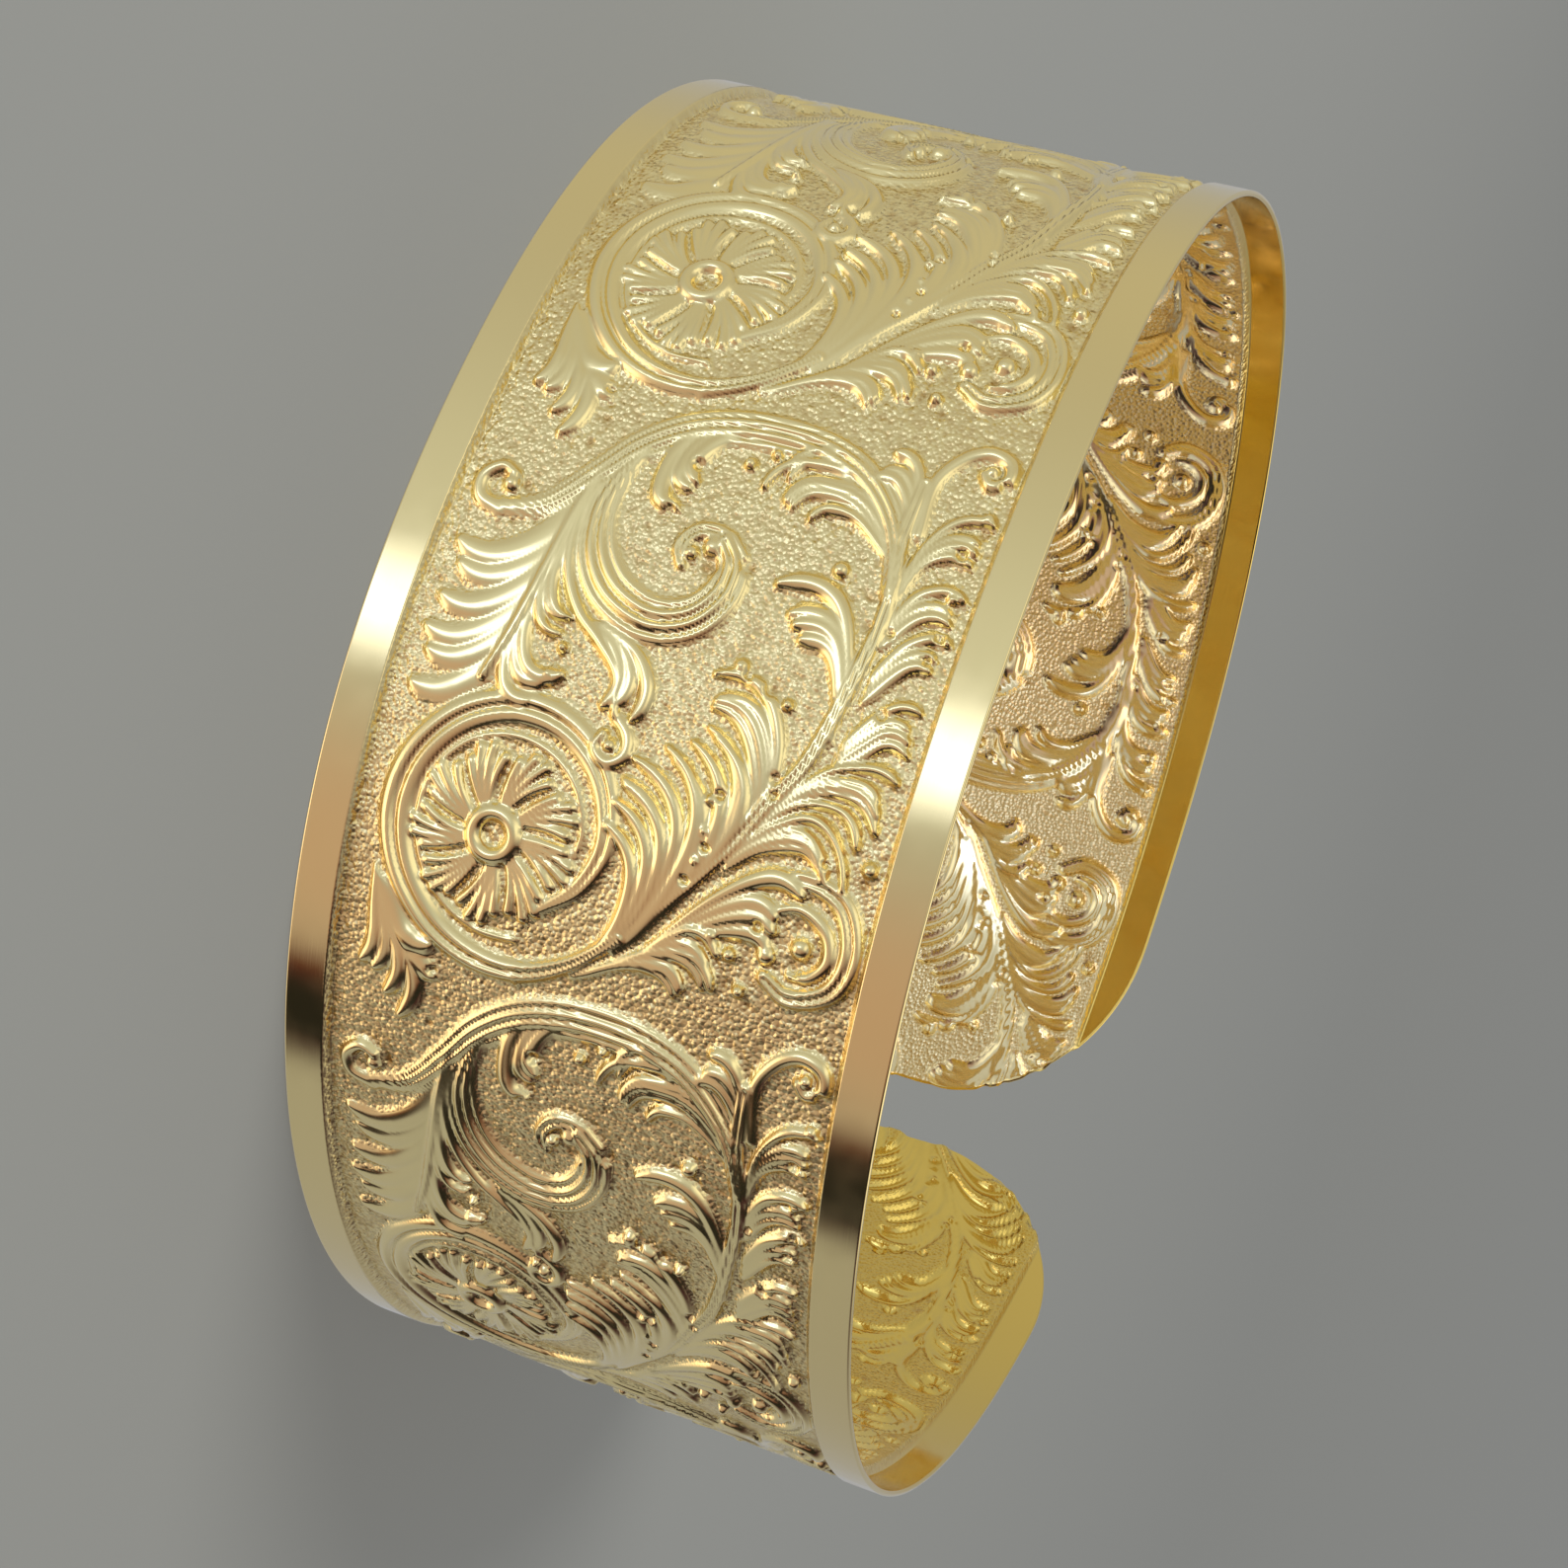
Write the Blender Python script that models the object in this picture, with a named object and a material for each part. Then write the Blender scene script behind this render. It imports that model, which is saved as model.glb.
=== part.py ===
"""Wide open cuff bracelet: one strip of thin embossed sheet metal, lying on its side.

Metres, +Z up. The front faces -Y and the opening is at the back. The upper drawing direction,
"across", runs over the band's width and "along" runs round the wrist.
"""

import math

import bmesh
import bpy
import numpy as np

# Sizes of the strip
BAND_WIDTH = 0.024
BLANK_LENGTH = 0.174
SHEET = 0.00045
CORNER_ALONG = 0.0106
CORNER_ACROSS = 0.0090

# Sizes of the plain raised borders and of the ornament between them
RELIEF = 0.00042
BORDER = 0.0016
BORDER_STEP = 0.0004
REPEAT = 0.0232
FRONT_TO_ROSETTE = 0.0169
BUTTON_RADIUS = 0.0011
PETAL_RADIUS = 0.0032
PETAL_HEIGHT = 0.6
LEAST_HALF_WIDTH = 0.0006

# How finely the strip is drawn before it is made lighter
COLUMN_PITCH = 0.0004
CORNER_COLUMNS = 12
FIELD_ROWS = 46
BORDER_ROWS = 3
SHEET_TRIANGLES = 5600
COLUMNS_PER_KEPT = 5
EASING_ROUNDS = 6
STEEPEST = 0.3
CURVE_POINTS = 12
TURN_POINTS = 24
BEND_STEPS = 1200

# Finish
GOLD = (0.79, 0.58, 0.22, 1.0)
ROUGHNESS = 0.28
SMOOTH_ANGLE = math.radians(40)

NAME = "cuff_band"
GROUP = "cuff_bracelet"

# Bend of the strip: share of half the blank from the middle of the front, then the turn in
# radians per half blank there, on the arm towards -X and on the arm towards +X
BENDS = (
    (0.000, 1.80, 1.80),
    (0.166, 4.05, 3.35),
    (0.331, 3.65, 3.10),
    (0.497, 3.90, 3.10),
    (0.663, 3.55, 2.45),
    (0.829, 2.65, 2.50),
    (1.000, 1.80, 1.80),
)

# Scrolls: centre across and along from the rosette, first and last radius, first and last angle in
# degrees, half width at the first end, in the middle and at the last end, and height.
# Lengths are shares of the band's width, along ones shares of the repeat, heights of the relief.
SCROLLS = (
    ("ring_outer", -0.188, 0.000, 0.232, 0.188, 8, 180, 0.018, 0.030, 0.032, 1.00),
    ("ring_inner", -0.188, 0.000, 0.188, 0.160, 180, 405, 0.032, 0.032, 0.020, 1.00),
    ("open_scroll", -0.012, 0.492, 0.205, 0.080, -98, -365, 0.022, 0.040, 0.030, 1.00),
    ("open_eye", 0.006, 0.496, 0.058, 0.036, -5, -180, 0.030, 0.030, 0.028, 1.00),
    ("small_scroll", 0.318, 0.019, 0.086, 0.050, -100, 150, 0.024, 0.030, 0.026, 1.00),
)

# Stems and leaves: start, a point passed through and end, each across and along, then half widths
# and height, in the same shares
SWEEPS = (
    ("arch_start", -0.345, 0.470, -0.205, 0.347, -0.100, 0.259, 0.026, 0.032, 0.030, 0.95),
    ("arch_top", -0.100, 0.259, 0.030, 0.212, 0.165, 0.271, 0.030, 0.030, 0.028, 0.95),
    ("arch_end", 0.165, 0.271, 0.255, 0.357, 0.296, 0.492, 0.026, 0.026, 0.022, 0.90),
    ("left_curl", -0.350, 0.480, -0.385, 0.446, -0.345, 0.420, 0.024, 0.026, 0.022, 0.95),
    ("fringe", 0.280, 0.400, 0.170, 0.325, 0.050, 0.365, 0.014, 0.040, 0.022, 0.75),
    ("right_stem", 0.298, 0.580, 0.292, 0.363, 0.290, 0.235, 0.028, 0.024, 0.030, 0.90),
    ("fan", 0.305, 0.320, 0.330, 0.210, 0.385, 0.225, 0.016, 0.030, 0.026, 0.85),
    ("side_leaf_1", 0.310, 0.445, 0.335, 0.365, 0.398, 0.325, 0.014, 0.034, 0.022, 0.75),
    ("side_leaf_2", 0.318, 0.580, 0.352, 0.480, 0.402, 0.450, 0.014, 0.036, 0.024, 0.75),
    ("side_leaf_3", 0.310, 0.730, 0.350, 0.640, 0.402, 0.600, 0.014, 0.036, 0.024, 0.75),
    ("plume_base", -0.120, 0.223, 0.060, 0.130, 0.170, -0.052, 0.020, 0.030, 0.026, 0.95),
    ("plume_middle", 0.170, -0.052, 0.235, -0.176, 0.262, -0.280, 0.026, 0.026, 0.026, 0.95),
    ("plume_end", 0.262, -0.280, 0.292, -0.404, 0.300, -0.497, 0.026, 0.026, 0.028, 0.90),
    ("plume_vein_1", 0.000, 0.150, 0.080, 0.010, 0.040, -0.140, 0.014, 0.032, 0.022, 0.75),
    ("plume_vein_2", 0.080, 0.070, 0.140, -0.100, 0.090, -0.260, 0.014, 0.036, 0.022, 0.75),
    ("leaf_upper", 0.190, -0.062, 0.275, -0.150, 0.385, -0.130, 0.014, 0.038, 0.024, 0.80),
    ("leaf_top", 0.245, -0.200, 0.300, -0.262, 0.392, -0.275, 0.014, 0.036, 0.024, 0.75),
    ("scroll_stem", 0.105, 0.047, 0.190, -0.041, 0.300, -0.071, 0.018, 0.030, 0.026, 0.85),
    ("low_leaf", 0.035, 0.165, 0.125, 0.105, 0.225, 0.132, 0.018, 0.042, 0.026, 0.80),
    ("sprig", -0.366, 0.120, -0.325, 0.225, -0.280, 0.320, 0.018, 0.036, 0.024, 0.75),
    ("fern_1", -0.215, 0.415, -0.300, 0.550, -0.378, 0.590, 0.018, 0.038, 0.024, 0.75),
    ("fern_2", -0.235, 0.580, -0.310, 0.690, -0.376, 0.720, 0.018, 0.038, 0.026, 0.75),
    ("fern_side", -0.214, 0.450, -0.222, 0.620, -0.172, 0.700, 0.016, 0.036, 0.024, 0.75),
    ("sprig_low", -0.130, 0.640, -0.050, 0.685, -0.040, 0.775, 0.016, 0.034, 0.026, 0.75),
    ("upper_leaf_1", 0.282, 0.663, 0.238, 0.520, 0.130, 0.495, 0.016, 0.040, 0.024, 0.80),
    ("upper_leaf_2", 0.235, 0.788, 0.172, 0.700, 0.075, 0.690, 0.018, 0.042, 0.026, 0.80),
)


def clear_scene():
    for thing in list(bpy.data.objects):
        bpy.data.objects.remove(thing, do_unlink=True)


def swept_points(row):
    """Points of a curve from a start, through a point halfway, to an end."""
    ax, ay, bx, by, cx, cy = row[1:7]
    share = np.linspace(0.0, 1.0, CURVE_POINTS)
    pull_x = 2 * bx - (ax + cx) / 2
    pull_y = 2 * by - (ay + cy) / 2
    x = (1 - share) ** 2 * ax + 2 * share * (1 - share) * pull_x + share**2 * cx
    y = (1 - share) ** 2 * ay + 2 * share * (1 - share) * pull_y + share**2 * cy
    return np.stack([x * BAND_WIDTH, y * REPEAT], 1)


def turned_points(row):
    """Points of a scroll whose radius runs evenly from its first to its last."""
    across, along, first_radius, last_radius, first_angle, last_angle = row[1:7]
    share = np.linspace(0.0, 1.0, TURN_POINTS)
    angle = np.radians(first_angle + (last_angle - first_angle) * share)
    radius = (first_radius + (last_radius - first_radius) * share) * BAND_WIDTH
    x = across * BAND_WIDTH + radius * np.cos(angle)
    y = along * REPEAT + radius * np.sin(angle)
    return np.stack([x, y], 1)


def half_widths(row, count):
    first, middle, last = row[7:10]
    share = np.linspace(0.0, 1.0, count)
    rising = first + (middle - first) * np.sin(np.pi * share)
    falling = last + (middle - last) * np.sin(np.pi * share)
    widths = np.where(share < 0.5, rising, falling) * BAND_WIDTH
    return np.maximum(widths, LEAST_HALF_WIDTH)


def ridge(x, y, points, widths):
    """Rounded ridge along the points: 1 on its crest and 0 at its half width."""
    least = np.ones_like(x)
    for i in range(len(points) - 1):
        start = points[i]
        step = points[i + 1] - start
        share = ((x - start[0]) * step[0] + (y - start[1]) * step[1]) / (step @ step)
        share = np.clip(share, 0.0, 1.0)
        away = np.hypot(x - start[0] - share * step[0], y - start[1] - share * step[1])
        least = np.minimum(least, away / (widths[i] + (widths[i + 1] - widths[i]) * share))
    return (1.0 - least**2) ** 2


def rosette(x, y):
    """A round of petals about a button, in the middle of the ring."""
    across, along = SCROLLS[0][1:3]
    dx = x - across * BAND_WIDTH
    dy = y - along * REPEAT
    radius = np.hypot(dx, dy)
    middle = (BUTTON_RADIUS + PETAL_RADIUS) / 2
    reach = (PETAL_RADIUS - BUTTON_RADIUS) / 2
    petals = np.clip(1.0 - ((radius - middle) / reach) ** 2, 0.0, 1.0)
    button = np.clip(1.0 - (radius / BUTTON_RADIUS) ** 2, 0.0, 1.0)
    return np.maximum(PETAL_HEIGHT * petals, button)


def ornament(across, along):
    """Height of the ornament over the ground, as a share of the relief."""
    place = along - FRONT_TO_ROSETTE
    place = place - REPEAT * np.round(place / REPEAT)
    height = np.zeros_like(across)
    for shift in (-REPEAT, 0.0, REPEAT):
        y = place + shift
        height = np.maximum(height, rosette(across, y))
        for table, points_of in ((SCROLLS, turned_points), (SWEEPS, swept_points)):
            for row in table:
                points = points_of(row)
                widths = half_widths(row, len(points))
                reach = widths.max()
                low = points.min(0) - reach
                high = points.max(0) + reach
                near = (across > low[0]) & (across < high[0]) & (y > low[1]) & (y < high[1])
                if near.any():
                    raised = row[10] * ridge(across[near], y[near], points, widths)
                    height[near] = np.maximum(height[near], raised)
    return height


def surface_height(across, along):
    """Height of the outer face over the ground: the borders, then the ornament between them."""
    from_edge = BAND_WIDTH / 2 - np.abs(across)
    slope = np.clip((BORDER + BORDER_STEP - from_edge) / BORDER_STEP, 0.0, 1.0)
    field = np.where(from_edge > BORDER + BORDER_STEP, ornament(across, along), 0.0)
    return RELIEF * np.maximum(slope, field)


def column_places():
    """Where the columns cross the strip, closer together round the end corners."""
    straight = BLANK_LENGTH / 2 - CORNER_ALONG
    count = 2 * math.ceil(straight / COLUMN_PITCH)
    middle = np.linspace(-straight, straight, count + 1)
    corner = straight + CORNER_ALONG * np.sin(np.linspace(0.0, math.pi / 2, CORNER_COLUMNS + 1)[1:])
    return np.concatenate([-corner[::-1], middle, corner])


def row_places():
    """Where the rows lie across the strip, with rows on both edges of each border's step."""
    edge = BAND_WIDTH / 2
    field = edge - BORDER - BORDER_STEP
    return np.concatenate(
        [
            [-edge, BORDER - edge],
            np.linspace(-field, field, FIELD_ROWS),
            [edge - BORDER, edge],
        ]
    )


def narrowing(along):
    """Half width of the strip at a place along it, as a share of half the band's width."""
    into_corner = (np.abs(along) - (BLANK_LENGTH / 2 - CORNER_ALONG)) / CORNER_ALONG
    into_corner = np.clip(into_corner, 0.0, 1.0)
    cut = CORNER_ACROSS * (1.0 - np.sqrt(1.0 - into_corner**2))
    return 1.0 - cut / (BAND_WIDTH / 2)


def bent_line():
    """Places along the strip with their plan position and heading, from end to end."""
    half = BLANK_LENGTH / 2
    table = np.array(BENDS)
    along = np.linspace(-half, half, 2 * BEND_STEPS + 1)
    share = np.abs(along) / half
    left = np.interp(share, table[:, 0], table[:, 1])
    right = np.interp(share, table[:, 0], table[:, 2])
    bend = np.where(along < 0.0, left, right) / half
    step = along[1] - along[0]
    heading = np.concatenate([[0.0], np.cumsum((bend[1:] + bend[:-1]) / 2 * step)])
    heading = heading - heading[BEND_STEPS]
    x = np.concatenate([[0.0], np.cumsum((np.cos(heading[1:]) + np.cos(heading[:-1])) / 2 * step)])
    y = np.concatenate([[0.0], np.cumsum((np.sin(heading[1:]) + np.sin(heading[:-1])) / 2 * step)])
    return along, np.stack([x, y], 1), heading


def outward(heading):
    return np.stack([np.sin(heading), -np.cos(heading)], 1)


def bent_sheet():
    """Outer face of the strip as an open surface, bent round the wrist."""
    columns = column_places()
    rows = row_places()
    mesh = bpy.data.meshes.new(NAME)
    grid = bmesh.new()
    bmesh.ops.create_grid(grid, x_segments=len(columns) - 1, y_segments=len(rows) - 1, size=1.0)
    grid.to_mesh(mesh)
    grid.free()
    flat = np.empty(len(mesh.vertices) * 3)
    mesh.vertices.foreach_get("co", flat)
    flat = flat.reshape(-1, 3)
    column = np.round((flat[:, 0] + 1) / 2 * (len(columns) - 1)).astype(int)
    row = np.round((flat[:, 1] + 1) / 2 * (len(rows) - 1)).astype(int)
    along = columns[column]
    across = rows[row] * narrowing(along)
    height = surface_height(across, along)
    places, line, heading = bent_line()
    plan = np.stack([np.interp(along, places, line[:, i]) for i in (0, 1)], 1)
    plan = plan + outward(np.interp(along, places, heading)) * height[:, None]
    bent = np.column_stack([plan, across + BAND_WIDTH / 2])
    mesh.vertices.foreach_set("co", bent.ravel())
    mesh.update()
    on_border = (row < BORDER_ROWS) | (row >= len(rows) - BORDER_ROWS)
    in_corner = (column < CORNER_COLUMNS) | (column >= len(columns) - CORNER_COLUMNS)
    on_rim = (row == 0) | (row == len(rows) - 1)
    kept = on_border & (column % COLUMNS_PER_KEPT == 0) & ~in_corner | on_rim & in_corner
    return mesh, np.flatnonzero(~kept)


def lightened(mesh, free):
    """The same surface with fewer triangles, kept where the relief is and evenly round the borders."""
    sheet = bpy.data.objects.new("outer_face", mesh)
    bpy.context.scene.collection.objects.link(sheet)
    group = sheet.vertex_groups.new(name="free")
    group.add(free.tolist(), 1.0, "REPLACE")
    lighter = sheet.modifiers.new("lighter", "DECIMATE")
    lighter.vertex_group = group.name
    lighter.decimate_type = "COLLAPSE"
    lighter.use_collapse_triangulate = True
    lighter.ratio = SHEET_TRIANGLES / (2 * len(mesh.polygons))
    graph = bpy.context.evaluated_depsgraph_get()
    result = bpy.data.meshes.new_from_object(sheet.evaluated_get(graph))
    bpy.data.objects.remove(sheet, do_unlink=True)
    return result


def eased(body, line, heading):
    """Smooths the few places where the lighter surface turns back under itself."""
    for _ in range(EASING_ROUNDS):
        facing = []
        for face in body.faces:
            middle = face.calc_center_median()
            nearest = np.hypot(line[:, 0] - middle.x, line[:, 1] - middle.y).argmin()
            normal = outward(heading[nearest : nearest + 1])[0]
            facing.append(face.normal.x * normal[0] + face.normal.y * normal[1])
        side = math.copysign(1.0, sum(facing))
        steep = [face for face, dot in zip(body.faces, facing) if side * dot < STEEPEST]
        turned = {vertex for face in steep for vertex in face.verts if not vertex.is_boundary}
        if not turned:
            break
        bmesh.ops.smooth_vert(
            body, verts=list(turned), factor=0.5, use_axis_x=True, use_axis_y=True, use_axis_z=True
        )
        body.normal_update()


def thickened(mesh):
    """A closed sheet: the inner face follows the outer one, a sheet's thickness further in."""
    places, line, heading = bent_line()
    body = bmesh.new()
    body.from_mesh(mesh)
    body.normal_update()
    eased(body, line, heading)
    for vertex in body.verts:
        for level in (0.0, BAND_WIDTH):
            if abs(vertex.co.z - level) < BORDER_STEP / 2 and vertex.is_boundary:
                vertex.co.z = level
    grown = bmesh.ops.extrude_face_region(body, geom=list(body.faces))
    moved = [part for part in grown["geom"] if isinstance(part, bmesh.types.BMVert)]
    for vertex in moved:
        nearest = np.hypot(line[:, 0] - vertex.co.x, line[:, 1] - vertex.co.y).argmin()
        normal = outward(heading[nearest : nearest + 1])[0]
        vertex.co.x -= normal[0] * SHEET
        vertex.co.y -= normal[1] * SHEET
    bmesh.ops.recalc_face_normals(body, faces=list(body.faces))
    if body.calc_volume(signed=True) < 0:
        bmesh.ops.reverse_faces(body, faces=list(body.faces))
    body.to_mesh(mesh)
    body.free()


def centred(mesh):
    """Moves the mesh so that the middle of its underside is at the origin."""
    points = np.empty(len(mesh.vertices) * 3)
    mesh.vertices.foreach_get("co", points)
    points = points.reshape(-1, 3)
    low = points.min(0)
    high = points.max(0)
    points -= np.array([(low[0] + high[0]) / 2, (low[1] + high[1]) / 2, low[2]])
    mesh.vertices.foreach_set("co", points.ravel())
    mesh.update()


def gold_material():
    material = bpy.data.materials.new("gold_tone_metal")
    material.use_nodes = True
    shader = material.node_tree.nodes["Principled BSDF"]
    shader.inputs["Base Color"].default_value = GOLD
    shader.inputs["Metallic"].default_value = 1.0
    shader.inputs["Roughness"].default_value = ROUGHNESS
    return material


def main():
    clear_scene()
    group = bpy.data.collections.new(GROUP)
    bpy.context.scene.collection.children.link(group)
    mesh = lightened(*bent_sheet())
    thickened(mesh)
    centred(mesh)
    mesh.name = NAME
    mesh.materials.append(gold_material())
    mesh.shade_smooth()
    mesh.set_sharp_from_angle(angle=SMOOTH_ANGLE)
    group.objects.link(bpy.data.objects.new(NAME, mesh))


main()
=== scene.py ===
"""Looks of a wide embossed cuff: the thin band in full detail, its gold-tone metal and a plain studio.

Metres, +Z up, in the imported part's frame. The band lies on its side and its front faces -Y.
Along runs round the wrist, across runs over the band's width towards +Z.
"""

import math

import bpy
import numpy as np
from mathutils import Matrix, Vector


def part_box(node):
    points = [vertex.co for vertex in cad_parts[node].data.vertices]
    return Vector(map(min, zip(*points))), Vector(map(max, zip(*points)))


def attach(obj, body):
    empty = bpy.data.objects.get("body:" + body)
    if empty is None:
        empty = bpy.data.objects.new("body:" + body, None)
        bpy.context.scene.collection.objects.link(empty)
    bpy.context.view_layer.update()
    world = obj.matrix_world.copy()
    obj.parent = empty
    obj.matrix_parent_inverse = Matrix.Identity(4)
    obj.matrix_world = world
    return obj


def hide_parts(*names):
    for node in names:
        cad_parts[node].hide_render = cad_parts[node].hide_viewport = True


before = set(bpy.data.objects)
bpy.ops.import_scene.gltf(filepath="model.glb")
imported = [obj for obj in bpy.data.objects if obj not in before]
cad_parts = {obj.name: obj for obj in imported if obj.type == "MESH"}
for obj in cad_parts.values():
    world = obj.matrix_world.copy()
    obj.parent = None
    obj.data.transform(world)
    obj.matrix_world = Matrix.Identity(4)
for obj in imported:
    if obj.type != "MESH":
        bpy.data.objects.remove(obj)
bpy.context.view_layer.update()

NODE = "cuff_band"
SLOT = "gold_tone_metal"

# Band: sizes as in the solid, but with a sharper step at the border, a thinner sheet and rounded cut
# edges; the last is how much of the relief shows inside
BAND_WIDTH = 0.024
BLANK_LENGTH = 0.174
CORNER_ALONG = 0.0106
CORNER_ACROSS = 0.0090
RELIEF = 0.00042
BORDER = 0.0016
BORDER_STEP = 0.00035
SHEET = 0.00028
EDGE_ROUND = 0.00010
MOST_EDGE_TURN = 0.94
REVERSE_DEPTH = 0.9

# Bend of the band: share of half the blank from the middle of the front, then the turn in
# radians per half blank on the arm towards -X and on the arm towards +X
BENDS = (
    (0.000, 1.80, 1.80),
    (0.166, 4.05, 3.35),
    (0.331, 3.65, 3.10),
    (0.497, 3.90, 3.10),
    (0.663, 3.55, 2.45),
    (0.829, 2.65, 2.50),
    (1.000, 1.80, 1.80),
)
BEND_STEPS = 3000

# How finely the faces are drawn
COLUMN_PITCH = 0.00012
END_ZONE = 0.0136
FIELD_ROWS = 178
FIELD_ROWS_INSIDE = 96
STEP_ROWS = 4
EDGE_ROWS = (0.0, 0.12, 0.3, 0.6, 1.0)
PLAIN_ROWS_AT_ENDS = 16
PARTS = 6

# Repeat of the ornament, in band widths: x across the band, y along it from a rosette's centre
REPEAT = 0.965
FIRST_ROSETTE = 0.705
ROSETTE = (-0.190, 0.0)
CHART_STEP = 0.002
CHART_HALF = 0.45

# How the chart is drawn: blurs in its cells, heights and depths as shares of the relief, powers for
# how round or sharp a form is, and rates for how soon grooves and height come in along a stem
CHART_BLUR = 1.0
INSIDE_BLUR = 1.8
BLUR_REACH = 3
JUST_INSIDE = 0.001
RIDGE_POWER = 0.65
FLUTE_GROOVE = 0.60
GROOVE_POWER = 3
FLUTES_FROM = 8.0
STEM_LIFT = 0.6
LIFT_RATE = 1.5
KNOB_HEIGHT = 1.0
PIT_DEPTH = 0.12
PIT_POWER = 1.5
GROUND_BELOW = 0.25
POINTS_A_SPAN = 8

# Stems: half widths at the start, in the middle and at the end, flutes side by side, height, then
# the points passed through, each x and y
STEMS = (
    ("ring", 0.012, 0.034, 0.010, 2, 0.98,
     (-0.090, 0.090), (-0.035, 0.038), (-0.010, -0.040), (-0.040, -0.128), (-0.110, -0.185),
     (-0.200, -0.198), (-0.285, -0.162), (-0.342, -0.088), (-0.358, 0.000), (-0.332, 0.088),
     (-0.270, 0.160), (-0.190, 0.196), (-0.105, 0.196), (-0.025, 0.158), (0.045, 0.096)),
    ("ring_line", 0.006, 0.008, 0.006, 1, 0.55,
     (-0.062, 0.016), (-0.050, -0.040), (-0.076, -0.102), (-0.128, -0.142), (-0.195, -0.154),
     (-0.262, -0.130), (-0.308, -0.072), (-0.320, 0.000), (-0.298, 0.072), (-0.248, 0.126),
     (-0.185, 0.152), (-0.125, 0.150)),
    ("spine", 0.010, 0.015, 0.012, 2, 0.92,
     (-0.110, 0.212), (0.000, 0.133), (0.098, 0.029), (0.172, -0.071), (0.220, -0.165),
     (0.262, -0.245), (0.293, -0.402), (0.298, -0.507), (0.283, -0.612), (0.286, -0.700)),
    ("arch", 0.016, 0.036, 0.014, 4, 0.92,
     (-0.352, 0.478), (-0.275, 0.452), (-0.212, 0.382), (-0.160, 0.318), (-0.090, 0.270),
     (-0.002, 0.247), (0.093, 0.247), (0.170, 0.268), (0.232, 0.312), (0.274, 0.374), (0.296, 0.458)),
    ("open_scroll", 0.008, 0.042, 0.024, 4, 1.00,
     (-0.150, 0.325), (-0.174, 0.380), (-0.183, 0.440), (-0.165, 0.508), (-0.120, 0.560),
     (-0.050, 0.586), (0.012, 0.570), (0.047, 0.525), (0.050, 0.475), (0.026, 0.440)),
    ("open_scroll_head", 0.020, 0.017, 0.010, 2, 0.95,
     (0.050, 0.470), (0.022, 0.432), (-0.018, 0.432), (-0.040, 0.462), (-0.030, 0.492)),
    ("left_curl", 0.016, 0.014, 0.010, 1, 0.92,
     (-0.345, 0.480), (-0.382, 0.468), (-0.390, 0.436), (-0.365, 0.412), (-0.338, 0.420)),
    ("small_scroll", 0.010, 0.022, 0.014, 2, 0.95,
     (0.225, -0.040), (0.300, -0.070), (0.372, -0.052), (0.402, 0.015), (0.384, 0.078),
     (0.325, 0.105), (0.280, 0.085)),
    ("small_scroll_inside", 0.008, 0.013, 0.009, 1, 0.85,
     (0.262, -0.010), (0.312, -0.028), (0.358, -0.005), (0.370, 0.035), (0.348, 0.066), (0.318, 0.070)),
    ("top_curl", 0.012, 0.015, 0.010, 1, 0.90,
     (0.304, 0.350), (0.298, 0.263), (0.325, 0.211), (0.362, 0.189), (0.398, 0.200),
     (0.404, 0.230), (0.380, 0.244), (0.364, 0.228)),
    ("fern_stem", 0.012, 0.012, 0.007, 1, 0.85,
     (-0.207, 0.370), (-0.222, 0.450), (-0.234, 0.550), (-0.250, 0.650), (-0.275, 0.740)),
    ("sprig_stem", 0.010, 0.012, 0.008, 1, 0.85,
     (-0.202, 0.400), (-0.214, 0.470), (-0.198, 0.545), (-0.160, 0.602), (-0.110, 0.640),
     (-0.068, 0.680), (-0.050, 0.740)),
    ("bud_curl", 0.012, 0.014, 0.009, 1, 0.92,
     (-0.050, 0.740), (-0.022, 0.765), (-0.018, 0.795), (-0.042, 0.812), (-0.066, 0.795),
     (-0.058, 0.770)),
)

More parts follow.
